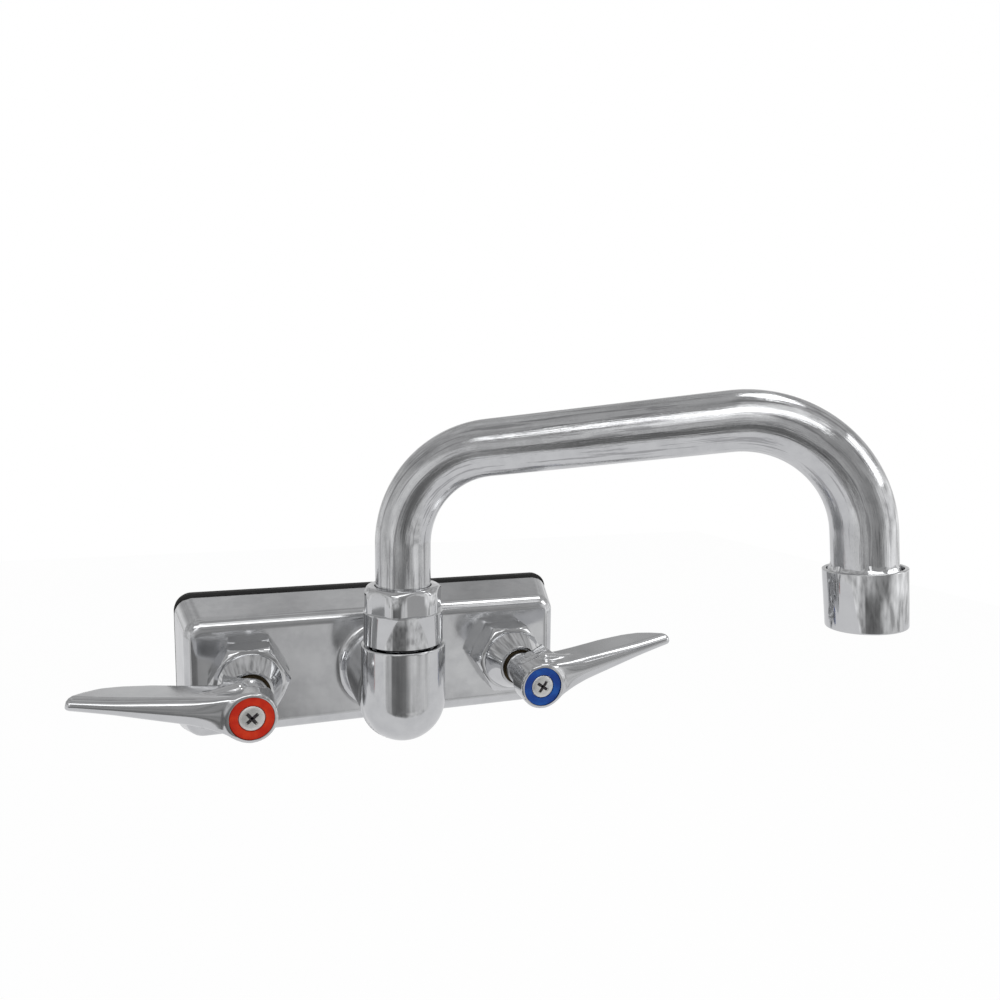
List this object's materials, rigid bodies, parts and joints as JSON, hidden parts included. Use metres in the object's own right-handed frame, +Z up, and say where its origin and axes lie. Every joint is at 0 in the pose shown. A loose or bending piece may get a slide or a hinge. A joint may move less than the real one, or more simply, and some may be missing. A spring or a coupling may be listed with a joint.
{
  "type": "commercial wall faucet",
  "caption": "Wall-mounted mixing faucet with quarter-turn lever valves, a swing spout and an aerator.",
  "frame": {"origin": "on the wall plane, which is the back of the gasket, midway between the hot and cold inlet axes", "axes": "+Z up, +Y into the wall, +X to the right of someone facing the faucet"},
  "size_m": [0.2433, 0.192, 0.1351],
  "materials": {
    "chrome": "polished chrome plate on brass",
    "gasket_rubber": "matt black rubber sheet",
    "seal_rubber": "black nitrile rubber",
    "bare_brass": "machined brass",
    "ceramic": "lapped white alumina ceramic",
    "hot_red": "glossy red plastic ring",
    "cold_blue": "glossy blue plastic ring",
    "pale_plastic": "moulded acetal",
    "zinc_steel": "zinc plated steel",
    "screw_steel": "stainless steel"
  },
  "bodies": {
    "faucet_body": {"body_casting": "chrome", "wall_gasket": "gasket_rubber", "spout_nut": "chrome", "swivel_washer": "pale_plastic", "inlet_shank_hot": "bare_brass", "inlet_shank_cold": "bare_brass", "mount_washer_hot": "zinc_steel", "mount_washer_cold": "zinc_steel", "lock_nut_hot": "bare_brass", "lock_nut_cold": "bare_brass", "seat_seal_hot": "seal_rubber", "seat_seal_cold": "seal_rubber", "fixed_disc_hot": "ceramic", "fixed_disc_cold": "ceramic", "cartridge_hot": "bare_brass", "cartridge_cold": "bare_brass", "cartridge_seal_hot": "seal_rubber", "cartridge_seal_cold": "seal_rubber", "bonnet_nut_hot": "chrome", "bonnet_nut_cold": "chrome"},
    "hot_handle": {"lever_handle_hot": "chrome", "index_ring_hot": "hot_red", "handle_screw_hot": "screw_steel", "stem_hot": "bare_brass", "stem_seals_hot": "seal_rubber", "stem_clip_hot": "zinc_steel", "moving_disc_hot": "ceramic"},
    "cold_handle": {"lever_handle_cold": "chrome", "index_ring_cold": "cold_blue", "handle_screw_cold": "screw_steel", "stem_cold": "bare_brass", "stem_seals_cold": "seal_rubber", "stem_clip_cold": "zinc_steel", "moving_disc_cold": "ceramic"},
    "spout": {"spout_tube": "chrome", "spout_sleeve": "bare_brass", "sleeve_seals": "seal_rubber", "tip_ring": "bare_brass", "aerator_housing": "chrome", "aerator_washer": "seal_rubber", "aerator_insert": "pale_plastic", "aerator_screen": "screw_steel"}
  },
  "joints": [
    {"name": "hot_valve_turn", "type": "hinge", "parent": "faucet_body", "child": "hot_handle", "pos_m": [-0.0508, -0.03, 0], "axis": [0, -1, 0], "range_deg": [0, 90]},
    {"name": "cold_valve_turn", "type": "hinge", "parent": "faucet_body", "child": "cold_handle", "pos_m": [0.0508, -0.03, 0], "axis": [0, 1, 0], "range_deg": [0, 90]},
    {"name": "spout_swing", "type": "hinge", "parent": "faucet_body", "child": "spout", "pos_m": [0, -0.0644, 0.02], "axis": [0, 0, 1], "range_deg": [-163, 46]}
  ]
}
